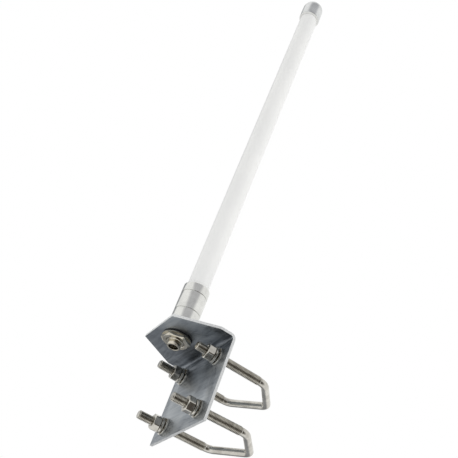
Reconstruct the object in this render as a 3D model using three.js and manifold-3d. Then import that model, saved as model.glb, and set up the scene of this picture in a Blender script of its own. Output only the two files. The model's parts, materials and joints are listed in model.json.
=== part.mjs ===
// An omnidirectional antenna: a fibreglass radome with a metal cap and base ferrule, standing on the
// flange of a bent-sheet bracket that two V-bolts clamp to a mast.
//
// Millimetres, +Z up along the antenna, +Y towards the mast, +X across the bracket plate.
// The origin is the middle of the plate's mast face, half way between the two V-bolts.
import * as THREE from "three";
import { mergeVertices } from "three/addons/utils/BufferGeometryUtils.js";
import Module from "manifold-3d";

const wasm = await Module();
wasm.setup();

// ---------------------------------------------------------------- driving dimensions

const bracket = {
  sheet: 2.5,
  width: 102,
  height: 80,
  depth: 52,
  bendRadius: 3,
  frontWidth: 56, // the flange's outer edge, between its two clipped corners
  fullWidthDepth: 15.5, // how far the flange keeps the plate's width, from the mast face
  flangeTop: 41.5,
  studHole: 16.6,
  boltHole: 9,
};

const vBolt = {
  legSpacing: 65,
  verticalSpacing: 50,
  threadDiameter: 7.7,
  wireDiameter: 7,
  cornerY: { upper: 45.9, lower: 44.3 }, // where the legs turn in, from the mast face
  bendRadius: 10,
  apexRadius: 6.5,
  apexDepth: 23.4, // leg corner to V corner, along Y
  // How far each leg's end stands out past the plate's antenna face.
  protrusion: {
    upper: { left: 26.3, right: 21.4 },
    lower: { left: 26.2, right: 25.2 },
  },
  tilt: { upper: 0, lower: 2.3 }, // degrees that its V is raised, within the slack of the holes
  pivotY: -5, // the tilt turns about this line across the legs
};

const m8 = {
  acrossFlats: 13,
  nutHeight: 6.5,
  nutBore: 8.1,
  springOuter: 14.6,
  springInner: 8.5,
  springThickness: 2,
  springRise: 1.8, // the offset between a slack spring washer's two ends
  springSlit: 1.2,
  washerOuter: 16,
  washerInner: 8.6,
  washerThickness: 1.6,
  // Each nut's angle, in degrees from a corner on +X.
  nutTurn: { upper_left: 31, upper_right: 29, lower_left: 28, lower_right: -2 },
};

const antenna = {
  y: -32.4, // the antenna axis, from the plate's mast face
  tubeRadius: 10,
  tubeWall: 2,
  tubeBottom: 58.3,
  tubeTop: 512.8,
  ferruleRadius: 12.35,
  ferruleHeight: 50,
  grooveWidth: 0.6,
  grooveDepth: 0.6,
  grooves: [22.4, 40.9], // heights above the ferrule's foot
  capRadius: 11.8,
  capBottom: 497.8,
  capShoulder: 515.3,
  capTop: 525.7,
  capFloor: 513.2,
};

const jack = {
  mouth: 28.8,
  noseRadius: 6,
  noseTop: 33,
  studRadius: 7.9,
  studTop: 52.5,
  boreRadius: 4.5,
  boreTop: 46.5,
  rearRadius: 2.6,
  insulatorFace: 34.8,
  contactRadius: 1.6,
  contactTip: 33.9,
  contactRear: 49,
  nutAcrossFlats: 24,
  nutHeight: 4,
  nutBore: 16.2,
  nutTurn: 7, // degrees, from a corner on +X
  collarRadius: 13.4, // a round collar at the nut's flange side
  collarHeight: 1,
  sealOuter: 26.4,
  sealInner: 16.8,
  sealThickness: 1,
};

const radiator = {
  coaxRadius: 1.8,
  coaxTop: 150.5,
  sleeveRadius: 5,
  sleeveWall: 0.7,
  sleeveBottom: 70,
  sleeveTop: 148,
  rodRadius: 1.5,
  lowerTop: 290,
  coilRadius: 5.5,
  coilWire: 1.6,
  coilTurns: 6,
  coilHeight: 27.4,
  upperTop: 492,
  spacerRadius: 7.8,
  spacerHeight: 8,
  sleeveSpacer: 100,
  rodSpacers: [215, 395, 480],
};

const gap = 0.1; // between faces that rest on each other
const innerGap = 0.3; // between the pieces of the radiator

const coarse = 24; // facets of a small round
const fine = 48; // facets of a large round

// ---------------------------------------------------------------- materials

const finishes = {
  fibreglass: { color: 0xf1f1ee, roughness: 0.42, metalness: 0 },
  polishedAluminium: { color: 0xc9cbcd, roughness: 0.22, metalness: 1 },
  turnedAluminium: { color: 0xc4c5c3, roughness: 0.32, metalness: 1 },
  galvanisedSheet: { color: 0x9aa1a9, roughness: 0.4, metalness: 1 },
  stainless: { color: 0xb3afa6, roughness: 0.28, metalness: 1 },
  nickel: { color: 0xbdb7a4, roughness: 0.25, metalness: 1 },
  brass: { color: 0xb9974f, roughness: 0.3, metalness: 1 },
  copper: { color: 0xb87850, roughness: 0.3, metalness: 1 },
  blackRubber: { color: 0x1d1d1f, roughness: 0.8, metalness: 0 },
  whiteSealant: { color: 0xe9e9e4, roughness: 0.6, metalness: 0 },
  blackPlastic: { color: 0x19191a, roughness: 0.5, metalness: 0 },
  foam: { color: 0xd9d6c8, roughness: 0.9, metalness: 0 },
};

function part(name, geometry, finish) {
  const mesh = new THREE.Mesh(geometry, new THREE.MeshStandardMaterial(finishes[finish]));
  mesh.name = name;
  return mesh;
}

// ---------------------------------------------------------------- solids

function solid(geometry) {
  const bare = geometry.index ? geometry.toNonIndexed() : geometry.clone();
  bare.deleteAttribute("normal");
  bare.deleteAttribute("uv");
  const merged = mergeVertices(bare, 1e-4);
  const vertProperties = merged.getAttribute("position").array;
  const triVerts = new Uint32Array(merged.index.array);
  return new wasm.Manifold(new wasm.Mesh({ numProp: 3, vertProperties, triVerts }));
}

function meshed(manifold) {
  const { vertProperties, triVerts } = manifold.getMesh();
  const geometry = new THREE.BufferGeometry();
  geometry.setAttribute("position", new THREE.BufferAttribute(vertProperties, 3));
  geometry.setIndex(new THREE.BufferAttribute(triVerts, 1));
  const flat = geometry.toNonIndexed();
  flat.computeVertexNormals();
  return flat;
}

// A body turned about Z: [radius, height] points, counter-clockwise, from axis to axis or closed.
function turned(profile, facets) {
  const points = profile.map(([r, z]) => new THREE.Vector2(r, z));
  return new THREE.LatheGeometry(points, facets).rotateX(Math.PI / 2);
}

function ring(inner, outer, bottom, top, facets) {
  return turned(
    [
      [inner, bottom],
      [outer, bottom],
      [outer, top],
      [inner, top],
      [inner, bottom],
    ],
    facets,
  );
}

function rod(radius, bottom, top, facets = coarse) {
  const height = top - bottom;
  const middle = (top + bottom) / 2;
  return new THREE.CylinderGeometry(radius, radius, height, facets)
    .rotateX(Math.PI / 2)
    .translate(0, 0, middle);
}

function prism(outline, height) {
  return new THREE.ExtrudeGeometry(new THREE.Shape(outline), {
    depth: height,
    bevelEnabled: false,
    curveSegments: coarse,
  });
}

// Turns a solid made along Z so that its +Z points to -Y: from the plate towards the antenna side.
function facingAntenna(geometry) {
  return geometry.rotateX(Math.PI / 2);
}

// A hexagon nut standing on z = 0, both faces turned down to a chamfer circle.
function hexNut(acrossFlats, height, bore) {
  const cornerRadius = acrossFlats / Math.sqrt(3);
  const corners = Array.from({ length: 6 }, (_, i) => {
    const angle = (i * Math.PI) / 3;
    return new THREE.Vector2(cornerRadius * Math.cos(angle), cornerRadius * Math.sin(angle));
  });
  const faceRadius = acrossFlats * 0.475;
  const rise = (cornerRadius - faceRadius) * Math.tan(Math.PI / 6);
  const chamfer = turned(
    [
      [0, 0],
      [faceRadius, 0],
      [cornerRadius + 0.01, rise],
      [cornerRadius + 0.01, height - rise],
      [faceRadius, height],
      [0, height],
    ],
    fine,
  );
  const hole = rod(bore / 2, -1, height + 1, coarse);
  const body = solid(prism(corners, height)).intersect(solid(chamfer));
  return meshed(body.subtract(solid(hole)));
}

// ---------------------------------------------------------------- bracket

const flangeUnder = bracket.flangeTop - bracket.sheet;
const plateBottom = bracket.flangeTop - bracket.height;
const plateInner = -bracket.sheet;
const boltHeights = { upper: vBolt.verticalSpacing / 2, lower: -vBolt.verticalSpacing / 2 };
const legSides = { left: -vBolt.legSpacing / 2, right: vBolt.legSpacing / 2 };

function makeBracket() {
  const { sheet, bendRadius, depth, width, flangeTop } = bracket;
  const bendY = plateInner - bendRadius;
  const bendZ = flangeUnder - bendRadius;
  const section = new THREE.Shape();
  section.moveTo(0, plateBottom);
  section.lineTo(0, bendZ);
  section.absarc(bendY, bendZ, bendRadius + sheet, 0, Math.PI / 2, false);
  section.lineTo(-depth, flangeTop);
  section.lineTo(-depth, flangeUnder);
  section.lineTo(bendY, flangeUnder);
  section.absarc(bendY, bendZ, bendRadius, Math.PI / 2, 0, true);
  section.lineTo(plateInner, plateBottom);
  const folded = new THREE.ExtrudeGeometry(section, {
    depth: width,
    bevelEnabled: false,
    curveSegments: 8,
  });
  // The section is drawn in Y and Z, and runs along X.
  const yzx = new THREE.Matrix4().makeBasis(
    new THREE.Vector3(0, 1, 0),
    new THREE.Vector3(0, 0, 1),
    new THREE.Vector3(1, 0, 0),
  );
  folded.applyMatrix4(yzx).translate(-width / 2, 0, 0);

  let body = solid(folded);
  for (const side of [-1, 1]) {
    const clip = new THREE.Shape([
      new THREE.Vector2((side * width) / 2, -bracket.fullWidthDepth),
      new THREE.Vector2((side * bracket.frontWidth) / 2, -depth),
      new THREE.Vector2((side * bracket.frontWidth) / 2, -depth - 5),
      new THREE.Vector2((side * (width + 10)) / 2, -depth - 5),
      new THREE.Vector2((side * (width + 10)) / 2, -bracket.fullWidthDepth),
    ]);
    const cutter = new THREE.ExtrudeGeometry(clip, { depth: sheet * 3, bevelEnabled: false });
    body = body.subtract(solid(cutter.translate(0, 0, flangeUnder - sheet)));
  }
  const studHole = rod(bracket.studHole / 2, flangeUnder - 1, flangeTop + 1, fine);
  body = body.subtract(solid(studHole.translate(0, antenna.y, 0)));
  for (const z of Object.values(boltHeights)) {
    for (const x of Object.values(legSides)) {
      const hole = new THREE.CylinderGeometry(
        bracket.boltHole / 2,
        bracket.boltHole / 2,
        sheet * 3,
        coarse,
      );
      body = body.subtract(solid(hole.translate(x, plateInner, z)));
    }
  }
  return part("bracket", meshed(body), "galvanisedSheet");
}

// ---------------------------------------------------------------- V-bolts and their nuts

// The centre line between the two leg corners, in X and Y, with its bends as arcs.
class VRoute extends THREE.CurvePath {
  constructor(cornerY) {
    super();
    const halfSpan = vBolt.legSpacing / 2;
    const corners = [
      new THREE.Vector3(-halfSpan, cornerY - vBolt.bendRadius, 0),
      new THREE.Vector3(-halfSpan, cornerY, 0),
      new THREE.Vector3(0, cornerY + vBolt.apexDepth, 0),
      new THREE.Vector3(halfSpan, cornerY, 0),
      new THREE.Vector3(halfSpan, cornerY - vBolt.bendRadius, 0),
    ];
    const radii = [vBolt.bendRadius, vBolt.apexRadius, vBolt.bendRadius];
    let from = corners[0];
    radii.forEach((radius, i) => {
      const corner = corners[i + 1];
      const back = corners[i].clone().sub(corner).normalize();
      const ahead = corners[i + 2].clone().sub(corner).normalize();
      const halfAngle = back.angleTo(ahead) / 2;
      const run = radius / Math.tan(halfAngle);
      const start = corner.clone().addScaledVector(back, run);
      const end = corner.clone().addScaledVector(ahead, run);
      const toCentre = back.clone().add(ahead).normalize();
      const centre = corner.clone().addScaledVector(toCentre, radius / Math.sin(halfAngle));
      this.add(new THREE.LineCurve3(from, start));
      this.add(new BendCurve(centre, start, end));
      from = end;
    });
    this.add(new THREE.LineCurve3(from, corners[4]));
  }
}

// A circular arc in the XY plane from one point to another, the short way round.
class BendCurve extends THREE.Curve {
  constructor(centre, start, end) {
    super();
    this.centre = centre;
    this.spoke = start.clone().sub(centre);
    const toEnd = end.clone().sub(centre);
    const turn = Math.sign(this.spoke.clone().cross(toEnd).z);
    this.angle = turn * this.spoke.angleTo(toEnd);
  }
  getPoint(t) {
    const zAxis = new THREE.Vector3(0, 0, 1);
    return this.spoke.clone().applyAxisAngle(zAxis, this.angle * t).add(this.centre);
  }
}

function circleShape(radius, facets) {
  const points = Array.from({ length: facets }, (_, i) => {
    const angle = (i * 2 * Math.PI) / facets;
    return new THREE.Vector2(radius * Math.cos(angle), radius * Math.sin(angle));
  });
  return new THREE.Shape(points);
}

function makeVBolt(level) {
  const cornerY = vBolt.cornerY[level];
  const threadEnd = cornerY - vBolt.bendRadius / 2;
  const wire = new THREE.ExtrudeGeometry(circleShape(vBolt.wireDiameter / 2, 16), {
    steps: 44,
    extrudePath: new VRoute(cornerY),
    bevelEnabled: false,
  });
  let body = solid(wire);
  for (const [side, x] of Object.entries(legSides)) {
    const legEnd = plateInner - vBolt.protrusion[level][side];
    const radius = vBolt.threadDiameter / 2;
    const leg = new THREE.CylinderGeometry(radius, radius, threadEnd - legEnd, coarse);
    body = body.add(solid(leg.translate(x, (threadEnd + legEnd) / 2, 0)));
  }
  return part(`v_bolt_${level}`, meshed(body), "stainless");
}

// A split washer standing on z = 0, which climbs by its rise from one cut end to the other.
function splitRing(inner, outer, thickness, slit, rise) {
  const half = slit / (inner + outer);
  const steps = fine;
  const positions = [];
  for (let i = 0; i <= steps; i += 1) {
    const angle = half + (2 * Math.PI - 2 * half) * (i / steps);
    const lift = rise * (i / steps);
    const section = [
      [inner, lift],
      [outer, lift],
      [outer, lift + thickness],
      [inner, lift + thickness],
    ];
    for (const [r, z] of section) {
      positions.push(r * Math.cos(angle), r * Math.sin(angle), z);
    }
  }
  const last = steps * 4;
  const index = [0, 1, 2, 0, 2, 3, last, last + 2, last + 1, last, last + 3, last + 2];
  for (let i = 0; i < last; i += 4) {
    for (let j = 0; j < 4; j += 1) {
      const next = (j + 1) % 4;
      index.push(i + j, i + 4 + j, i + 4 + next, i + j, i + 4 + next, i + next);
    }
  }
  const geometry = new THREE.BufferGeometry();
  geometry.setAttribute("position", new THREE.Float32BufferAttribute(positions, 3));
  geometry.setIndex(index);
  return meshed(solid(geometry));
}

const washerTop = gap + m8.washerThickness;
const springTop = washerTop + gap + m8.springThickness + m8.springRise;

// The washers of one leg, stacked on the plate's antenna face.
function makeWashers(place) {
  const stack = new THREE.Group();
  const washer = ring(m8.washerInner / 2, m8.washerOuter / 2, gap, washerTop, fine);
  stack.add(part(`flat_washer_${place}`, facingAntenna(washer), "stainless"));
  const inner = m8.springInner / 2;
  const outer = m8.springOuter / 2;
  const spring = splitRing(inner, outer, m8.springThickness, m8.springSlit, m8.springRise);
  spring.rotateZ(Math.PI / 3).translate(0, 0, washerTop + gap);
  stack.add(part(`spring_washer_${place}`, facingAntenna(spring), "stainless"));
  return stack;
}

function makeNut(place) {
  const turn = THREE.MathUtils.degToRad(m8.nutTurn[place]);
  const nut = hexNut(m8.acrossFlats, m8.nutHeight, m8.nutBore);
  nut.rotateZ(turn).translate(0, 0, springTop + gap);
  return part(`hex_nut_${place}`, facingAntenna(nut), "stainless");
}

// One V-bolt with its washers and nuts. The bolt and its nuts share the bolt's tilt.
function makeClamp(level) {
  const clamp = new THREE.Group();
  clamp.position.z = boltHeights[level];
  const tilted = new THREE.Group();
  tilted.position.y = vBolt.pivotY;
  tilted.rotation.x = THREE.MathUtils.degToRad(vBolt.tilt[level]);
  const drawn = new THREE.Group();
  drawn.position.y = -vBolt.pivotY;
  drawn.add(makeVBolt(level));
  for (const [side, x] of Object.entries(legSides)) {
    const place = `${level}_${side}`;
    const washers = makeWashers(place);
    washers.position.set(x, plateInner, 0);
    clamp.add(washers);
    const nut = makeNut(place);
    nut.position.set(x, plateInner, 0);
    drawn.add(nut);
  }
  tilted.add(drawn);
  clamp.add(tilted);
  return clamp;
}

// ---------------------------------------------------------------- radome, cap and ferrule

function makeTube() {
  const inner = antenna.tubeRadius - antenna.tubeWall;
  const tube = ring(inner, antenna.tubeRadius, antenna.tubeBottom, antenna.tubeTop, fine);
  return part("radome_tube", tube, "fibreglass");
}

function makeFerrule() {
  const foot = bracket.flangeTop + gap;
  const top = foot + antenna.ferruleHeight;
  const radius = antenna.ferruleRadius;
  const socket = antenna.tubeRadius + 0.25;
  const seat = antenna.tubeBottom - innerGap;
  const studBore = jack.studRadius + innerGap;
  const ringGroove = { bottom: top - 6, top: top - 4.4, radius: 11.3 };
  const profile = [
    [studBore, foot],
    [radius - 0.4, foot],
    [radius, foot + 0.4],
  ];
  for (const height of antenna.grooves) {
    const low = foot + height - antenna.grooveWidth / 2;
    const high = low + antenna.grooveWidth;
    profile.push([radius, low], [radius - antenna.grooveDepth, low]);
    profile.push([radius - antenna.grooveDepth, high], [radius, high]);
  }
  profile.push(
    [radius, top - 1.2],
    [radius - 0.35, top - 0.35],
    [radius - 1.2, top],
    [socket, top],
    [socket, ringGroove.top],
    [ringGroove.radius, ringGroove.top],
    [ringGroove.radius, ringGroove.bottom],
    [socket, ringGroove.bottom],
    [socket, seat],
    [studBore + 0.7, seat],
    [studBore + 0.7, jack.studTop + 1],
    [studBore, jack.studTop + 1],
    [studBore, foot],
  );
  return part("base_ferrule", turned(profile, fine), "turnedAluminium");
}

// A round-section ring lying about the axis.
function roundRing(middleRadius, sectionRadius, height) {
  const profile = Array.from({ length: 9 }, (_, i) => {
    const angle = (i * 2 * Math.PI) / 8;
    return [
      middleRadius + sectionRadius * Math.cos(angle),
      height + sectionRadius * Math.sin(angle),
    ];
  });
  return turned(profile, fine);
}

function makeFerruleSeal() {
  const middle = bracket.flangeTop + gap + antenna.ferruleHeight - 5.2;
  return part("ferrule_o_ring", roundRing(10.65, 0.55, middle), "blackRubber");
}

function makeCap() {
  const radius = antenna.capRadius;
  const socket = antenna.tubeRadius + 0.25;
  const rise = antenna.capTop - antenna.capShoulder;
  const profile = [
    [0, antenna.capFloor],
    [socket, antenna.capFloor],
    [socket, antenna.capBottom],
    [radius - 0.4, antenna.capBottom],
    [radius, antenna.capBottom + 0.4],
  ];
  const domeSteps = 10;
  for (let i = 0; i <= domeSteps; i += 1) {
    const angle = (i * Math.PI) / 2 / domeSteps;
    const across = i === domeSteps ? 0 : radius * Math.cos(angle);
    profile.push([across, antenna.capShoulder + rise * Math.sin(angle)]);
  }
  return part("top_cap", turned(profile, fine), "polishedAluminium");
}

function makeCapSealant() {
  const inner = antenna.tubeRadius + gap;
  const top = antenna.capBottom - gap;
  const profile = [
    [inner, top - 1.6],
    [inner + 0.7, top - 1.2],
    [inner + 1.3, top - 0.5],
    [inner + 1.4, top],
    [inner, top],
    [inner, top - 1.6],
  ];
  return part("cap_sealant", turned(profile, fine), "whiteSealant");
}

// ---------------------------------------------------------------- jack at the foot

function makeJackBody() {
  const profile = [
    [jack.boreRadius, jack.mouth],
    [jack.noseRadius - 0.3, jack.mouth],
    [jack.noseRadius, jack.mouth + 0.3],
    [jack.noseRadius, jack.noseTop],
    [jack.studRadius - 0.6, jack.noseTop],
    [jack.studRadius, jack.noseTop + 0.6],
    [jack.studRadius, jack.studTop],
    [jack.rearRadius, jack.studTop],
    [jack.rearRadius, jack.boreTop],
    [jack.boreRadius, jack.boreTop],
    [jack.boreRadius, jack.mouth],
  ];
  return part("jack_body", turned(profile, fine), "nickel");
}

function makeJackInsulator() {
  const inner = jack.contactRadius + 0.15;
  const outer = jack.boreRadius - gap;
  const insulator = ring(inner, outer, jack.insulatorFace, jack.boreTop - 0.2, coarse);
  return part("jack_insulator", insulator, "blackPlastic");
}

function makeJackContact() {
  const socketRadius = 0.8;
  const socketDepth = 4;
  const profile = [
    [0, jack.contactTip + socketDepth],
    [socketRadius, jack.contactTip + socketDepth],
    [socketRadius, jack.contactTip],
    [jack.contactRadius, jack.contactTip],
    [jack.contactRadius, jack.contactRear],
    [0, jack.contactRear],
  ];
  return part("jack_contact", turned(profile, coarse), "brass");
}

function makeJackSeal() {
  const top = flangeUnder - gap;
  const bottom = top - jack.sealThickness;
  const seal = ring(jack.sealInner / 2, jack.sealOuter / 2, bottom, top, fine);
  return part("jack_seal_washer", seal, "blackRubber");
}

function makeJackNut() {
  const top = flangeUnder - gap - jack.sealThickness - gap;
  const hexagon = hexNut(jack.nutAcrossFlats, jack.nutHeight, jack.nutBore);
  hexagon.rotateZ(THREE.MathUtils.degToRad(jack.nutTurn));
  const foot = jack.nutHeight - jack.collarHeight;
  const collar = ring(jack.nutBore / 2 + 1, jack.collarRadius, foot, jack.nutHeight, fine);
  const nut = meshed(solid(hexagon).add(solid(collar)));
  nut.translate(0, 0, top - jack.nutHeight);
  return part("jack_nut", nut, "nickel");
}

// ---------------------------------------------------------------- radiator inside the radome

function makeFeedCoax() {
  const bottom = jack.contactRear + innerGap;
  return part("feed_coax", rod(radiator.coaxRadius, bottom, radiator.coaxTop), "copper");
}

// A quarter-wave sleeve, open below and closed on the coax at its top.
function makeChokeSleeve() {
  const { sleeveRadius, sleeveWall, sleeveBottom, sleeveTop, coaxRadius } = radiator;
  const inner = sleeveRadius - sleeveWall;
  const hole = coaxRadius + 0.2;
  const profile = [
    [inner, sleeveBottom],
    [sleeveRadius, sleeveBottom],
    [sleeveRadius, sleeveTop],
    [hole, sleeveTop],
    [hole, sleeveTop - sleeveWall],
    [inner, sleeveTop - sleeveWall],
    [inner, sleeveBottom],
  ];
  return part("choke_sleeve", turned(profile, coarse), "brass");
}

const feedGapTop = radiator.sleeveTop + 4;

function makeFeedInsulator() {
  const inner = radiator.coaxRadius + 0.2;
  const bottom = radiator.sleeveTop + innerGap;
  const insulator = ring(inner, radiator.sleeveRadius, bottom, feedGapTop, coarse);
  return part("feed_insulator", insulator, "blackPlastic");
}

function makeLowerRadiator() {
  const bottom = feedGapTop + innerGap;
  return part("lower_radiator", rod(radiator.rodRadius, bottom, radiator.lowerTop), "brass");
}

// A helix whose two ends come in to the axis.
class CoilCurve extends THREE.Curve {
  getPoint(t) {
    const spread = Math.min(1, t / 0.08, (1 - t) / 0.08);
    const radius = radiator.coilRadius * Math.sin((spread * Math.PI) / 2);
    const angle = t * radiator.coilTurns * 2 * Math.PI;
    const x = radius * Math.cos(angle);
    const y = radius * Math.sin(angle);
    return new THREE.Vector3(x, y, t * (radiator.coilHeight - radiator.coilWire));
  }
}

function makePhasingCoil() {
  const coil = new THREE.ExtrudeGeometry(circleShape(radiator.coilWire / 2, 6), {
    steps: radiator.coilTurns * 14,
    extrudePath: new CoilCurve(),
    bevelEnabled: false,
  });
  coil.translate(0, 0, radiator.lowerTop + innerGap + radiator.coilWire / 2);
  return part("phasing_coil", coil, "copper");
}

function makeUpperRadiator() {
  const bottom = radiator.lowerTop + radiator.coilHeight + 2 * innerGap;
  return part("upper_radiator", rod(radiator.rodRadius, bottom, radiator.upperTop), "brass");
}

function makeSpacer(name, innerRadius, bottom) {
  const top = bottom + radiator.spacerHeight;
  const spacer = ring(innerRadius, radiator.spacerRadius, bottom, top, coarse);
  return part(name, spacer, "foam");
}

function makeSpacers() {
  const sleeveHole = radiator.sleeveRadius + 0.2;
  const rodHole = radiator.rodRadius + 0.2;
  const names = ["foam_spacer_lower", "foam_spacer_upper", "foam_spacer_tip"];
  return [
    makeSpacer("foam_spacer_sleeve", sleeveHole, radiator.sleeveSpacer),
    ...names.map((name, i) => makeSpacer(name, rodHole, radiator.rodSpacers[i])),
  ];
}

// ---------------------------------------------------------------- assembly

const onAxis = new THREE.Group();
onAxis.position.y = antenna.y;
onAxis.add(
  makeTube(),
  makeFerrule(),
  makeFerruleSeal(),
  makeCap(),
  makeCapSealant(),
  makeJackBody(),
  makeJackInsulator(),
  makeJackContact(),
  makeJackSeal(),
  makeJackNut(),
  makeFeedCoax(),
  makeChokeSleeve(),
  makeFeedInsulator(),
  makeLowerRadiator(),
  makePhasingCoil(),
  makeUpperRadiator(),
  ...makeSpacers(),
);

const assembly = new THREE.Group();
assembly.add(makeBracket(), makeClamp("upper"), makeClamp("lower"), onAxis);

export default assembly;
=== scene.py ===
import json
import math

import bmesh
import bpy
from mathutils import Matrix, Vector


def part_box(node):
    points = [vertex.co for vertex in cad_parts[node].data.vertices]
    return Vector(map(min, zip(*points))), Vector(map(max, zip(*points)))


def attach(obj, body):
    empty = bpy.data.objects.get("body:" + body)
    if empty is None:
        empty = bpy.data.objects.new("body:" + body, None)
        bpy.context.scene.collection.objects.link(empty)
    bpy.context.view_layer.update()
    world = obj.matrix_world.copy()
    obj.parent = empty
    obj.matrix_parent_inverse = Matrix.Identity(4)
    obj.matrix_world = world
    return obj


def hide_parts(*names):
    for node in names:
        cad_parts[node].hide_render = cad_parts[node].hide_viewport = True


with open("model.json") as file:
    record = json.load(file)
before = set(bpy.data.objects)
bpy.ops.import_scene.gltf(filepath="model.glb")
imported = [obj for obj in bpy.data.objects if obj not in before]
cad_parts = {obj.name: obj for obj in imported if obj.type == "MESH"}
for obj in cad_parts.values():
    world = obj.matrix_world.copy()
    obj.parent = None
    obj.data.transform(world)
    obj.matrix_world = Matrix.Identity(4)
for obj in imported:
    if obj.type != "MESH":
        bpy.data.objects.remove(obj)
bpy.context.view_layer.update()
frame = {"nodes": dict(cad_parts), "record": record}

MM = 0.001
TURN = 2 * math.pi


# ---------------------------------------------------------------- camera

def view_axes(azimuth, elevation, roll):
    """Right, down and look of a camera that aims from azimuth and elevation, in degrees, and is rolled."""
    a, e, r = (math.radians(x) for x in (azimuth, elevation, roll))
    look = Vector((-math.sin(a) * math.cos(e), math.cos(a) * math.cos(e), -math.sin(e)))
    side = look.cross(Vector((0, 0, 1))).normalized()
    drop = look.cross(side)
    right = side * math.cos(r) + drop * math.sin(r)
    down = drop * math.cos(r) - side * math.sin(r)
    return right, down, look


RIGHT, DOWN, LOOK = view_axes(72.71, -35.71, -22.22)


def add_camera():
    data = bpy.data.cameras.new("camera")
    data.sensor_width = 36
    data.lens = 64.67
    data.clip_start, data.clip_end = 0.01, 50
    camera = bpy.data.objects.new("camera", data)
    turn = Matrix((RIGHT, -DOWN, -LOOK)).transposed().to_4x4()
    camera.matrix_world = Matrix.Translation(Vector((615.8, -217.7, -294.4)) * MM) @ turn
    bpy.context.scene.collection.objects.link(camera)
    bpy.context.scene.camera = camera


add_camera()


# ---------------------------------------------------------------- materials

class Nodes:
    """A material's node tree, with its Principled shader and short calls for the nodes used here."""

    def __init__(self, name, color, metallic, roughness):
        self.material = bpy.data.materials.new(name)
        self.material.use_nodes = True
        self.tree = self.material.node_tree
        self.shader = self.tree.nodes["Principled BSDF"]
        self.coords = self.tree.nodes.new("ShaderNodeTexCoord").outputs["Object"]
        self.set("Base Color", (*color, 1))
        self.set("Metallic", metallic)
        self.set("Roughness", roughness)

    def set(self, socket, value):
        self.shader.inputs[socket].default_value = value

    def link(self, output, target):
        self.tree.links.new(output, target)

    def noise(self, scale, stretch=(1, 1, 1), detail=4, roughness=0.6, distortion=0):
        mapping = self.tree.nodes.new("ShaderNodeMapping")
        mapping.inputs["Scale"].default_value = stretch
        self.link(self.coords, mapping.inputs["Vector"])
        noise = self.tree.nodes.new("ShaderNodeTexNoise")
        noise.inputs["Scale"].default_value = scale
        noise.inputs["Detail"].default_value = detail
        noise.inputs["Roughness"].default_value = roughness
        noise.inputs["Distortion"].default_value = distortion
        self.link(mapping.outputs["Vector"], noise.inputs["Vector"])
        return noise.outputs["Fac"]

    def ramp(self, value, *stops):
        ramp = self.tree.nodes.new("ShaderNodeValToRGB")
        elements = ramp.color_ramp.elements
        while len(elements) < len(stops):
            elements.new(0.5)
        for element, (place, color) in zip(elements, stops):
            element.position = place
            element.color = (*color, 1)
        self.link(value, ramp.inputs["Fac"])
        return ramp.outputs["Color"]

    def spread(self, value, low, high, source=(0.3, 0.7)):
        node = self.tree.nodes.new("ShaderNodeMapRange")
        for socket, number in zip(("From Min", "From Max", "To Min", "To Max"), (*source, low, high)):
            node.inputs[socket].default_value = number
        self.link(value, node.inputs["Value"])
        return node.outputs["Result"]

    def add(self, first, second):
        node = self.tree.nodes.new("ShaderNodeMath")
        node.operation = "ADD"
        self.link(first, node.inputs[0])
        self.link(second, node.inputs[1])
        return node.outputs["Value"]

    def reach(self, direction):
        """How far a point lies along a direction from the origin, in metres."""
        node = self.tree.nodes.new("ShaderNodeVectorMath")
        node.operation = "DOT_PRODUCT"
        node.inputs[1].default_value = direction
        self.link(self.coords, node.inputs[0])
        return node.outputs["Value"]

    def bump(self, height, strength, distance):
        node = self.tree.nodes.new("ShaderNodeBump")
        node.inputs["Strength"].default_value = strength
        node.inputs["Distance"].default_value = distance
        self.link(height, node.inputs["Height"])
        self.link(node.outputs["Normal"], self.shader.inputs["Normal"])

    def color(self, value):
        self.link(value, self.shader.inputs["Base Color"])

    def rough(self, value):
        self.link(value, self.shader.inputs["Roughness"])


def sheet_metal():
    """Zinc sheet: fine rolled lines, cloudy patches, scratches, and painted shade that darkens it towards
    the bend.
    """
    m = Nodes("galvanised_sheet", (0.37, 0.4, 0.43), 1, 0.2)
    cloud = m.noise(27, (1, 1, 1), 5, 0.62, 0.8)
    lines = m.noise(900, (0.02, 1, 1), 3)
    scratches = m.noise(260, (0.1, 0.6, 1), 2, 0.5, 1.5)
    # painted shade: darkens the sheet towards the bend, where the flange's dark reflection falls
    painted_fold_shade = m.spread(m.reach((0, 1, 1)), 0, -0.27, (0.01, 0.043))
    tone = m.add(m.add(cloud, painted_fold_shade), m.spread(scratches, -0.12, 0.12, (0.35, 0.65)))
    m.color(m.ramp(
        tone,
        (0.14, (0.13, 0.145, 0.162)),
        (0.32, (0.27, 0.293, 0.32)),
        (0.5, (0.37, 0.398, 0.425)),
        (0.78, (0.46, 0.485, 0.5)),
    ))
    m.rough(m.add(m.spread(cloud, 0.34, 0.46), m.spread(lines, -0.04, 0.06)))
    m.bump(m.add(lines, scratches), 0.2, 0.00004)
    return m.material


def cut_edge():
    """The sheared rim of the sheet: pale, dull, with fine marks across it."""
    m = Nodes("sheared_edge", (0.85, 0.86, 0.86), 0.75, 0.5)
    marks = m.noise(700, (1, 1, 1), 3)
    m.color(m.ramp(marks, (0.3, (0.7, 0.71, 0.72)), (0.6, (0.88, 0.89, 0.89))))
    m.rough(m.spread(marks, 0.42, 0.62))
    m.bump(marks, 0.3, 0.00005)
    return m.material


def bright_steel(name, dark, light, low, high):
    """Drawn and tumbled stainless: small nicks, slightly uneven gloss."""
    m = Nodes(name, light, 1, low)
    nicks = m.noise(1500, (1, 1, 1), 4)
    stain = m.noise(120, (1, 1, 1), 4, 0.6, 0.4)
    m.color(m.ramp(stain, (0.32, dark), (0.62, light)))
    m.rough(m.add(m.spread(stain, low, high), m.spread(nicks, -0.04, 0.05)))
    m.bump(nicks, 0.2, 0.00002)
    return m.material


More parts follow.
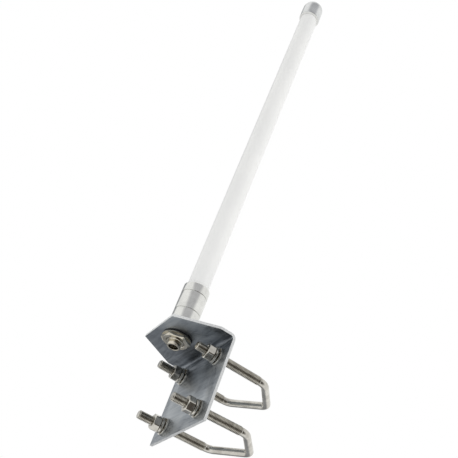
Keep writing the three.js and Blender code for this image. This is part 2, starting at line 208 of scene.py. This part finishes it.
def turned_metal(name, dark, light, low, high, strength):
    """Metal finished on a lathe about Z: fine rings, cloudy gloss."""
    m = Nodes(name, light, 1, low)
    rings = m.noise(1, (60, 60, 5200), 2)
    cloud = m.noise(90, (1, 1, 1), 4, 0.6, 0.3)
    m.color(m.ramp(cloud, (0.3, dark), (0.65, light)))
    m.rough(m.add(m.spread(cloud, low, high), m.spread(rings, -0.03, 0.05)))
    m.bump(rings, strength, 0.00002)
    return m.material


def painted_tube():
    """White painted fibreglass: faint lengthways fibres under a smooth coat."""
    m = Nodes("fibreglass", (0.86, 0.86, 0.85), 0, 0.34)
    fibres = m.noise(600, (1, 1, 0.03), 3)
    skin = m.noise(900, (1, 1, 1), 2)
    tint = m.noise(14, (1, 1, 1), 3)
    m.color(m.ramp(tint, (0.3, (0.85, 0.855, 0.85)), (0.7, (0.9, 0.9, 0.89))))
    m.rough(m.spread(fibres, 0.28, 0.4))
    m.bump(m.add(fibres, skin), 0.1, 0.00003)
    return m.material


def plain(name, dark, light, rough, grain, metallic=0, strength=0.25):
    """A moulded, foamed or drawn material with fine grain and slight shade changes."""
    m = Nodes(name, light, metallic, rough)
    fine = m.noise(grain, (1, 1, 1), 4)
    m.color(m.ramp(m.noise(grain / 6, (1, 1, 1), 3), (0.3, dark), (0.7, light)))
    m.rough(m.spread(fine, rough - 0.06, rough + 0.08))
    m.bump(fine, strength, 0.00004)
    return m.material


MATERIALS = {
    "galvanised_sheet": sheet_metal(),
    "sheared_edge": cut_edge(),
    "stainless": bright_steel("stainless", (0.46, 0.44, 0.40), (0.66, 0.64, 0.59), 0.1, 0.22),
    # painted shade: a darker copy of the stainless for the threaded lengths, standing in for the shade
    # between the thread turns
    "thread_steel_painted_shade": bright_steel("thread_steel_painted_shade", (0.4, 0.38, 0.34), (0.58, 0.56, 0.51), 0.12, 0.24),
    "jack_nickel": bright_steel("jack_nickel", (0.44, 0.41, 0.34), (0.68, 0.64, 0.55), 0.08, 0.2),
    "ferrule_metal": turned_metal("ferrule_metal", (0.66, 0.66, 0.64), (0.79, 0.79, 0.765), 0.1, 0.2, 0.3),
    "cap_metal": turned_metal("cap_metal", (0.6, 0.61, 0.61), (0.74, 0.75, 0.75), 0.12, 0.22, 0.2),
    "fibreglass": painted_tube(),
    "black_rubber": plain("black_rubber", (0.012, 0.012, 0.013), (0.025, 0.025, 0.027), 0.7, 900),
    "sealant": plain("sealant", (0.72, 0.72, 0.7), (0.82, 0.82, 0.8), 0.5, 500),
    # painted shade: the insulator is near-black here, standing in for the shade deep in the jack's bore
    "black_insulator": plain("black_insulator", (0.02, 0.02, 0.021), (0.04, 0.04, 0.042), 0.45, 600),
    # painted shade: the contact's brass is darkened, standing in for the shade deep in the jack's bore
    "contact_brass": plain("contact_brass", (0.26, 0.24, 0.2), (0.42, 0.39, 0.33), 0.25, 900, 1, 0.1),
    "sleeve_brass": plain("sleeve_brass", (0.55, 0.42, 0.2), (0.74, 0.59, 0.32), 0.3, 400, 1, 0.1),
    "copper": plain("copper", (0.55, 0.28, 0.15), (0.78, 0.45, 0.28), 0.3, 500, 1, 0.1),
    "foam": plain("foam", (0.68, 0.66, 0.58), (0.8, 0.78, 0.72), 0.85, 700, 0, 0.6),
}


# ---------------------------------------------------------------- mesh helpers

def grid(columns, around=True, along=True):
    """Vertices and quads over columns of points.

    around joins the last column to the first, and along joins each column's last point to its first.
    """
    rows = len(columns[0])
    verts = [p for column in columns for p in column]
    faces = []
    for i in range(len(columns) if around else len(columns) - 1):
        a, b = i * rows, (i + 1) % len(columns) * rows
        for j in range(rows if along else rows - 1):
            k = (j + 1) % rows
            faces.append((a + j, b + j, b + k, a + k))
    return verts, faces


def rounded(corners, steps=4):
    """A closed outline of (across, up, radius) corners with each corner turned into an arc."""
    out = []
    for i, (r, z, radius) in enumerate(corners):
        here = Vector((r, z))
        if not radius:
            out.append((r, z))
            continue
        back = (Vector(corners[i - 1][:2]) - here).normalized()
        ahead = (Vector(corners[(i + 1) % len(corners)][:2]) - here).normalized()
        half = back.angle(ahead) / 2
        centre = here + (back + ahead).normalized() * (radius / math.sin(half))
        start = here + back * (radius / math.tan(half)) - centre
        end = here + ahead * (radius / math.tan(half)) - centre
        total = start.angle_signed(end)
        for k in range(steps + 1):
            spoke = start.copy()
            spoke.rotate(Matrix.Rotation(-total * k / steps, 2))
            out.append(tuple(centre + spoke))
    return out


def round_columns(profile, segments):
    """A profile of (radius, height) points turned about the local Z axis."""
    return [
        [(r * math.cos(TURN * k / segments), r * math.sin(TURN * k / segments), z) for r, z in profile]
        for k in range(segments)
    ]


def make_mesh(name, verts, faces, sharp_degrees=30):
    mesh = bpy.data.meshes.new(name)
    mesh.from_pydata([[c * MM for c in v] for v in verts], [], faces)
    bm = bmesh.new()
    bm.from_mesh(mesh)
    bmesh.ops.remove_doubles(bm, verts=bm.verts, dist=2e-6)
    bmesh.ops.dissolve_degenerate(bm, dist=1e-6, edges=bm.edges)
    bmesh.ops.recalc_face_normals(bm, faces=bm.faces)
    mark_sharp(bm, sharp_degrees)
    bm.to_mesh(mesh)
    bm.free()
    return mesh


def mark_sharp(bm, degrees):
    limit = math.radians(degrees)
    for face in bm.faces:
        face.smooth = True
    for edge in bm.edges:
        if len(edge.link_faces) == 2 and edge.calc_face_angle(0) > limit:
            edge.smooth = False


def show(name, mesh, body, slot, *nodes):
    """Adds a finished mesh as a piece on a body, in place of its CAD nodes."""
    piece = bpy.data.objects.new(name, mesh)
    bpy.context.scene.collection.objects.link(piece)
    if not mesh.materials:
        mesh.materials.append(MATERIALS[slot])
    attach(piece, body)
    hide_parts(*nodes)
    return piece


def span(node):
    """A CAD node's lowest and highest corner, in millimetres."""
    low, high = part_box(node)
    return Vector(low) / MM, Vector(high) / MM


def placed(columns, place):
    return [[place(p) for p in column] for column in columns]


# ---------------------------------------------------------------- threads

THREAD = ((0, 0), (0.22, 0), (0.48, 1), (0.74, 1))  # place in one pitch, height


def thread_rows(turn, start, end, pitch, root, crest, limit):
    """One lengthways line of a right-hand thread: (distance, radius), at a share of a turn.

    Points outside the threaded length gather on its ends, where limit(distance) gives their radius.
    """
    rows = []
    for i in range(math.ceil((end - start) / pitch) + 1):
        for place, height in THREAD:
            s = min(max(start + (i + place + turn - 1) * pitch, start), end)
            rows.append((s, limit(s, root + (crest - root) * height)))
    return rows


# ---------------------------------------------------------------- bracket

AXIS = Vector((0, (span("radome_tube")[0].y + span("radome_tube")[1].y) / 2, 0))
PLATE = -2.5
LEGS_X = (-32.5, 32.5)
LEVEL_Z = {"upper": 25, "lower": -25}
CORNER_Y = {"upper": 45.9, "lower": 44.3}
LEG_END = {"upper_left": -28.8, "upper_right": -23.9, "lower_left": -28.7, "lower_right": -27.7}
TILT = {"upper": 0, "lower": 2.3}
PIVOT_Y = -5
APEX_DEPTH = 23.4  # from the legs' corners to the point of the V
THREAD_STOP = 5  # how far short of its corner a leg's thread ends
JACK_COLLAR = (13.4, 1)  # radius and height
FLOOR_Z = -900


def cut_away(target, cutter):
    modifier = target.modifiers.new("cut", "BOOLEAN")
    modifier.operation, modifier.solver, modifier.object = "DIFFERENCE", "EXACT", cutter


def make_bracket():
    low, high = span("bracket")
    sheet, bend = 2.5, 3
    fold_y, fold_z = -sheet - bend, high.z - sheet - bend
    outline = [(0, low.z)]
    steps = 14
    for k in range(steps + 1):
        a = TURN / 4 * k / steps
        outline.append((fold_y + (bend + sheet) * math.cos(a), fold_z + (bend + sheet) * math.sin(a)))
    outline += [(low.y, high.z), (low.y, high.z - sheet)]
    for k in range(steps, -1, -1):
        a = TURN / 4 * k / steps
        outline.append((fold_y + bend * math.cos(a), fold_z + bend * math.sin(a)))
    outline.append((-sheet, low.z))
    count = len(outline)
    verts = [(x, y, z) for x in (low.x, high.x) for y, z in outline]
    faces = [tuple(range(count)), tuple(range(2 * count - 1, count - 1, -1))]
    faces += [(i, i + count, (i + 1) % count + count, (i + 1) % count) for i in range(count)]
    body = bpy.data.objects.new("bracket_body", make_mesh("bracket_body", verts, faces))
    bpy.context.scene.collection.objects.link(body)

    cutters = []

    def cutter(verts, faces):
        tool = bpy.data.objects.new("cutter", make_mesh("cutter", verts, faces))
        bpy.context.scene.collection.objects.link(tool)
        cutters.append(tool)
        cut_away(body, tool)

    def hole(place, radius):
        profile = [(0, -6), (radius, -6), (radius, 6), (0, 6)]
        cutter(*grid(placed(round_columns(profile, 64), place), along=False))

    hole(lambda p: (p[0], p[1] + AXIS.y, p[2] + high.z), 8.3)
    for x in LEGS_X:
        for z in (-25, 25):
            hole(lambda p, x=x, z=z: (p[0] + x, -p[2], p[1] + z), 4.5)
    for side in (-1, 1):
        wedge = [(28, low.y), (28, low.y - 6), (60, low.y - 6), (60, -15.5), (51, -15.5)]
        wedge = [(side * x, y) for x, y in wedge]
        verts = [(x, y, z) for z in (high.z - 8, high.z + 6) for x, y in wedge]
        n = len(wedge)
        faces = [tuple(range(n)), tuple(range(2 * n - 1, n - 1, -1))]
        faces += [(i, i + n, (i + 1) % n + n, (i + 1) % n) for i in range(n)]
        cutter(verts, faces)

    bevel = body.modifiers.new("edges", "BEVEL")
    bevel.width, bevel.segments, bevel.limit_method = 0.22 * MM, 2, "ANGLE"
    bevel.angle_limit = math.radians(40)
    evaluated = body.evaluated_get(bpy.context.evaluated_depsgraph_get())
    mesh = bpy.data.meshes.new_from_object(evaluated)
    for old in [body, *cutters]:
        bpy.data.objects.remove(old)

    mesh.materials.clear()
    mesh.materials.append(MATERIALS["galvanised_sheet"])
    mesh.materials.append(MATERIALS["sheared_edge"])
    bm = bmesh.new()
    bm.from_mesh(mesh)
    mark_sharp(bm, 30)
    for face in bm.faces:
        n, c = face.normal, face.calc_center_median() / MM
        on_plate = c.z < fold_z
        rim = abs(n.y) < 0.6 if on_plate else abs(n.x) > 0.6 or (c.y < fold_y and abs(n.z) < 0.6)
        face.material_index = 1 if rim else 0
    bm.to_mesh(mesh)
    bm.free()
    mesh.name = "bracket_sheet"
    show("bracket_sheet", mesh, "bracket", "galvanised_sheet", "bracket")


make_bracket()


# ---------------------------------------------------------------- V-bolts

def route(corners, radii):
    """Straight runs and arcs through the corners, as (length, function of distance) parts."""
    parts = []
    at = corners[0]
    for i, radius in enumerate(radii):
        corner = corners[i + 1]
        back = (corners[i] - corner).normalized()
        ahead = (corners[i + 2] - corner).normalized()
        half = back.angle(ahead) / 2
        start = corner + back * (radius / math.tan(half))
        end = corner + ahead * (radius / math.tan(half))
        centre = corner + (back + ahead).normalized() * (radius / math.sin(half))
        parts.append(straight(at, start))
        parts.append(arc(centre, start, end, radius))
        at = end
    parts.append(straight(at, corners[-1]))
    return parts


def straight(start, end):
    way = (end - start).normalized()
    return (end - start).length, lambda s: (start + way * s, way), 12


def arc(centre, start, end, radius):
    spoke, close = start - centre, end - centre
    sign = 1 if spoke.cross(close).z > 0 else -1
    total = spoke.angle(close)

    def at(s):
        turned_spoke = Matrix.Rotation(sign * s / radius, 3, "Z") @ spoke
        way = Vector((0, 0, sign)).cross(turned_spoke).normalized()
        return centre + turned_spoke, way

    return total * radius, at, 1


def along(parts, s):
    for length, at, _ in parts:
        if s <= length + 1e-9:
            return at(s)
        s -= length
    return parts[-1][1](parts[-1][0])


def tilted(point, level):
    """A point of a straight V-bolt, given from its holes' height, moved to that bolt's height and tilt."""
    x, y, z = point
    a = math.radians(TILT[level])
    y -= PIVOT_Y
    along_y = y * math.cos(a) - z * math.sin(a)
    along_z = y * math.sin(a) + z * math.cos(a)
    return Vector((x, PIVOT_Y + along_y, LEVEL_Z[level] + along_z))


def make_v_bolt(level):
    node = f"v_bolt_{level}"
    corner_y, half = CORNER_Y[level], LEGS_X[1]
    ends = [LEG_END[f"{level}_{side}"] for side in ("left", "right")]
    apex_y = corner_y + APEX_DEPTH
    corners = [(-half, ends[0]), (-half, corner_y), (0, apex_y), (half, corner_y), (half, ends[1])]
    parts = route([Vector((*c, 0)) for c in corners], (10, 6.5, 10))
    total = sum(p[0] for p in parts)
    threaded = [corner_y - THREAD_STOP - end for end in ends]
    wire, crest, root, tip, pitch = 3.5, 3.93, 3.25, 3.0, 1.25

    def limit(s, radius):
        from_tip, length = min((s, threaded[0]), (total - s, threaded[1]))
        faded = min(1, max(0, (length - from_tip) / (1.4 * pitch)))
        return min(wire + (radius - wire) * faded, tip + from_tip * 0.9)

    middle = []
    done = 0
    for length, _, step in parts:
        count = max(2, round(length / step))
        middle += [done + length * k / count for k in range(count)]
        done += length
    middle = [(s, wire) for s in middle if threaded[0] + 0.1 < s < total - threaded[1] - 0.1]

    around = 30
    columns = []
    for k in range(around + 1):
        turn = k / around
        rows = [(0, 0)]
        rows += thread_rows(turn, 0, threaded[0], pitch, root, crest, limit)
        rows += middle
        rows += thread_rows(turn, total - threaded[1], total, pitch, root, crest, limit)
        rows += [(total, 0)]
        column = []
        for s, r in rows:
            point, way = along(parts, s)
            side = Vector((0, 0, 1)).cross(way)
            offset = side * math.cos(TURN * turn) + Vector((0, 0, math.sin(TURN * turn)))
            column.append(tilted(point + offset * r, level))
        columns.append(column)
    mesh = make_mesh(node + "_threaded", *grid(columns, around=False, along=False), 24)
    mesh.materials.append(MATERIALS["stainless"])
    # painted shade: threaded faces get the darker copy of the steel, for the shade between the turns
    mesh.materials.append(MATERIALS["thread_steel_painted_shade"])
    for face in mesh.polygons:
        face.material_index = 1 if face.center.y < (corner_y - THREAD_STOP) * MM else 0
    show(node + "_threaded", mesh, node, "stainless", node)


make_v_bolt("upper")
make_v_bolt("lower")


# ---------------------------------------------------------------- nuts and washers

# Columns over one side of a hexagon, in degrees from its middle.
FLAT = (-30, -29.2, -28, -26, -22, -18, -14, -9, -4.5, 0, 4.5, 9, 14, 18, 22, 26, 28, 29.2)


def hexagon_columns(across, height, bore, turn, round_off=0.25, collar=None):
    """A hexagon nut on local z = 0, chamfered on both faces, with slightly rounded corners.

    collar is the (radius, height) of a round collar at the top, in place of the upper chamfer.
    """
    face = across * 0.475
    columns = []
    for side in range(6):
        for offset in FLAT:
            angle = math.radians(side * 60 + 30 + offset + turn)
            reach = min(across / 2 / math.cos(math.radians(offset)), across / math.sqrt(3) - round_off)
            fall = max(0, reach - face) * math.tan(math.radians(30))
            rim = [(reach, height - fall), (face, height)]
            if collar:
                radius, thick = collar
                rim = [(reach, height - thick), (radius, height - thick)]
                rim += [(radius, height - 0.15), (radius - 0.15, height)]
            profile = [
                (bore, 0.5),
                (bore + 0.5, 0),
                (face, 0),
                (reach, fall),
                *rim,
                (bore + 0.5, height),
                (bore, height - 0.5),
            ]
            columns.append([(r * math.cos(angle), r * math.sin(angle), z) for r, z in profile])
    return columns


def ring_profile(inner, outer, bottom, top, edge):
    corners = [(inner, bottom), (outer, bottom), (outer, top), (inner, top)]
    return rounded([(*corner, edge) for corner in corners], 3)


def split_ring(inner, outer, bottom, thickness, rise, slit, turn):
    """A slack split washer that climbs from one cut end to the other."""
    profile = ring_profile(inner, outer, bottom, bottom + thickness, 0.15)
    gap = slit / (inner + outer)
    count = 60
    columns = []
    for k in range(count + 1):
        angle = turn + gap + (TURN - 2 * gap) * k / count
        lift = rise * k / count
        columns.append([(r * math.cos(angle), r * math.sin(angle), z + lift) for r, z in profile])
    verts, faces = grid(columns, around=False)
    n = len(profile)
    faces += [tuple(range(n)), tuple(range(len(verts) - 1, len(verts) - 1 - n, -1))]
    return verts, faces


NUT_TURN = {"upper_left": 31, "upper_right": 29, "lower_left": 28, "lower_right": -2}


def make_fastening(place):
    """One leg's flat washer, spring washer and nut."""
    level, side = place.split("_")
    x = LEGS_X[side == "right"]

    def onto_plate(p):
        return (p[0] + x, PLATE - p[2], p[1] + LEVEL_Z[level])

    def onto_bolt(p):
        return tilted((p[0] + x, PLATE - p[2], p[1]), level)

    columns = placed(round_columns(ring_profile(4.3, 8, 0.1, 1.7, 0.18), 64), onto_plate)
    mesh = make_mesh("washer_" + place, *grid(columns))
    show("washer_" + place, mesh, "bracket", "stainless", "flat_washer_" + place)

    verts, faces = split_ring(4.25, 7.3, 1.8, 2, 1.8, 1.2, math.pi / 3)
    mesh = make_mesh("lock_washer_" + place, [onto_plate(v) for v in verts], faces)
    show("lock_washer_" + place, mesh, "bracket", "stainless", "spring_washer_" + place)

    columns = hexagon_columns(13, 6.5, 4.05, NUT_TURN[place])
    columns = placed(columns, lambda p: onto_bolt((p[0], p[1], p[2] + 5.7)))
    mesh = make_mesh("nut_" + place, *grid(columns), 24)
    show("nut_" + place, mesh, "hex_nut_" + place, "stainless", "hex_nut_" + place)


for place in NUT_TURN:
    make_fastening(place)


# ---------------------------------------------------------------- antenna

def on_axis(p):
    return (p[0], p[1] + AXIS.y, p[2])


def turned_piece(name, profile, segments, body, slot, *nodes):
    columns = placed(round_columns(profile, segments), on_axis)
    show(name, make_mesh(name, *grid(columns)), body, slot, *nodes)


def make_tube():
    low, high = span("radome_tube")
    profile = ring_profile(8, high.x, low.z, high.z, 0.2)
    turned_piece("radome", profile, 96, "antenna", "fibreglass", "radome_tube")


def make_ferrule():
    low, high = span("base_ferrule")
    radius, foot, top = high.x, low.z, high.z
    corners = [(8.2, foot, 0.1), (radius, foot, 0.3)]
    for height in (22.4, 40.9):
        bottom = foot + height - 0.32
        corners += [(radius, bottom, 0.12), (radius - 0.6, bottom + 0.1, 0.1)]
        corners += [(radius - 0.6, bottom + 0.54, 0.1), (radius, bottom + 0.64, 0.12)]
    corners += [(radius, top, 1.1), (10.25, top, 0.15), (10.25, 58, 0)]
    corners += [(8.9, 58, 0), (8.9, 53.5, 0), (8.2, 53.5, 0)]
    turned_piece("ferrule", rounded(corners, 5), 128, "antenna", "ferrule_metal", "base_ferrule")


def make_cap():
    low, high = span("top_cap")
    radius, shoulder = high.x, high.z - 10.4
    profile = [(0, 513.2), (10.25, 513.2)]
    profile += rounded([(10.25, low.z, 0.12), (radius, low.z, 0.3), (radius, shoulder, 0)], 4)[:-1]
    steps = 20
    for k in range(steps + 1):
        a = TURN / 4 * k / steps
        across = radius * math.cos(a) if k < steps else 0
        profile.append((across, shoulder + (high.z - shoulder) * math.sin(a)))
    columns = placed(round_columns(profile, 96), on_axis)
    mesh = make_mesh("cap", *grid(columns, along=False), 30)
    show("cap", mesh, "antenna", "cap_metal", "top_cap")


def make_sealant():
    low, high = span("cap_sealant")
    inner = 10.1
    corners = [(inner, low.z, 0), (inner + 0.8, low.z + 0.4, 0.4), (high.x, high.z - 0.5, 0.3)]
    corners += [(high.x, high.z, 0), (inner, high.z, 0)]
    turned_piece("cap_bead", rounded(corners, 4), 96, "antenna", "sealant", "cap_sealant")


def make_jack():
    low, high = span("jack_body")
    mouth, end = low.z, high.z
    nose, stud, bore = 6, 7.9, 4.5
    shoulder = mouth + 4.2

    def limit(s, radius):
        return min(radius, 7.2 + s)

    columns = []
    around = 60
    for k in range(around + 1):
        turn = k / around
        threads = thread_rows(turn, 0, 5.5, 1.058, 7.25, stud, limit)
        profile = [(bore, mouth + 0.25), (bore + 0.25, mouth)]
        profile += [(nose - 0.35, mouth), (nose - 0.1, mouth + 0.1), (nose, mouth + 0.35)]
        profile += [(nose, shoulder), (7.2, shoulder)]
        profile += [(r, shoulder + s) for s, r in threads]
        profile += [(stud, shoulder + 6), (stud, end), (2.6, end), (2.6, 46.5), (bore, 46.5)]
        angle = -TURN * turn
        columns.append([on_axis((r * math.cos(angle), r * math.sin(angle), z)) for r, z in profile])
    mesh = make_mesh("jack_shell", *grid(columns, around=False), 28)
    show("jack_shell", mesh, "antenna", "jack_nickel", "jack_body")

    low, high = span("jack_nut")
    columns = hexagon_columns(24, high.z - low.z, 8.1, 7 - 60, 0.3, JACK_COLLAR)
    columns = placed(columns, lambda p: on_axis((p[0], p[1], p[2] + low.z)))
    show("panel_nut", make_mesh("panel_nut", *grid(columns), 24), "jack_nut", "jack_nickel", "jack_nut")

    low, high = span("jack_seal_washer")
    profile = ring_profile(8.4, high.x, low.z, high.z, 0.3)
    turned_piece("panel_seal", profile, 96, "bracket", "black_rubber", "jack_seal_washer")


make_tube()
make_ferrule()
make_cap()
make_sealant()
make_jack()

slots = {part["node"]: part["material_slot"] for part in frame["record"]["subparts"]}
for name, node in frame["nodes"].items():
    node.data.materials.clear()
    node.data.materials.append(MATERIALS[slots[name]])


# ---------------------------------------------------------------- floor, light, world

def make_floor():
    profile = [(0, FLOOR_Z), (600, FLOOR_Z), (1500, FLOOR_Z), (3000, FLOOR_Z)]
    columns = round_columns(profile, 96)
    mesh = make_mesh("floor", *grid(columns, along=False))
    m = Nodes("floor", (0.82, 0.82, 0.82), 0, 0.6)
    m.color(m.ramp(m.noise(3), (0.3, (0.8, 0.8, 0.8)), (0.7, (0.84, 0.84, 0.84))))
    mesh.materials.append(m.material)
    floor = bpy.data.objects.new("floor", mesh)
    bpy.context.scene.collection.objects.link(floor)
    floor.visible_glossy = False


def from_view(right, down, look):
    return (RIGHT * right + DOWN * down + LOOK * look).normalized()


def make_world():
    world = bpy.data.worlds.new("studio")
    bpy.context.scene.world = world
    world.use_nodes = True
    tree = world.node_tree
    tree.nodes.clear()
    link, new = tree.links.new, tree.nodes.new
    way = new("ShaderNodeTexCoord").outputs["Generated"]
    # Broad darker zones: direction (right, down, look), inner and outer spread in degrees, light left.
    shades = [
        ((0.4, 0.05, -0.91), 20, 54, (0.1, 0.09, 0.08)),
        ((0.38, -0.9, -0.19), 22, 42, (0.56, 0.56, 0.58)),
        ((-0.42, -0.32, 0.85), 8, 22, (0.3, 0.31, 0.33)),
        ((-0.8, 0.5, 0.28), 8, 24, (0.75, 0.76, 0.78)),
        ((-0.4, 0.8, 0.46), 14, 40, (0.33, 0.34, 0.36)),
    ]
    total = None
    for aim, inner, outer, color in shades:
        dot = new("ShaderNodeVectorMath")
        dot.operation = "DOT_PRODUCT"
        dot.inputs[1].default_value = from_view(*aim)
        link(way, dot.inputs[0])
        fall = new("ShaderNodeMapRange")
        fall.interpolation_type = "SMOOTHSTEP"
        fall.inputs["From Min"].default_value = math.cos(math.radians(outer))
        fall.inputs["From Max"].default_value = math.cos(math.radians(inner))
        link(dot.outputs["Value"], fall.inputs["Value"])
        mix = new("ShaderNodeMix")
        mix.data_type, mix.blend_type = "RGBA", "MULTIPLY"
        mix.inputs[7].default_value = (*color, 1)
        link(fall.outputs["Result"], mix.inputs[0])
        if total:
            link(total, mix.inputs[6])
        else:
            mix.inputs[6].default_value = (0.98, 0.98, 0.97, 1)
        total = mix.outputs[2]
    studio = new("ShaderNodeBackground")
    link(total, studio.inputs["Color"])
    backdrop = new("ShaderNodeBackground")
    backdrop.inputs["Color"].default_value = (1, 1, 1, 1)
    choose = new("ShaderNodeMixShader")
    link(new("ShaderNodeLightPath").outputs["Is Camera Ray"], choose.inputs[0])
    link(studio.outputs[0], choose.inputs[1])
    link(backdrop.outputs[0], choose.inputs[2])
    link(choose.outputs[0], new("ShaderNodeOutputWorld").inputs["Surface"])


def add_softbox(name, aim, distance, size, power, color=(1, 1, 1)):
    data = bpy.data.lights.new(name, "AREA")
    data.shape, data.size, data.energy, data.color = "DISK", size, power, color
    light = bpy.data.objects.new(name, data)
    target = Vector((0, -0.03, 0.15))
    way = from_view(*aim)
    light.location = target + way * distance
    light.rotation_mode = "QUATERNION"
    light.rotation_quaternion = (-way).to_track_quat("-Z", "Y")
    light.visible_glossy = False
    bpy.context.scene.collection.objects.link(light)


make_floor()
make_world()
add_softbox("key", (0.9, -0.1, -0.3), 1.8, 1.0, 8, (1, 0.995, 0.98))
add_softbox("fill", (-0.1, -0.35, -0.93), 1.8, 1.4, 5)

bpy.context.scene.view_settings.view_transform = "Standard"
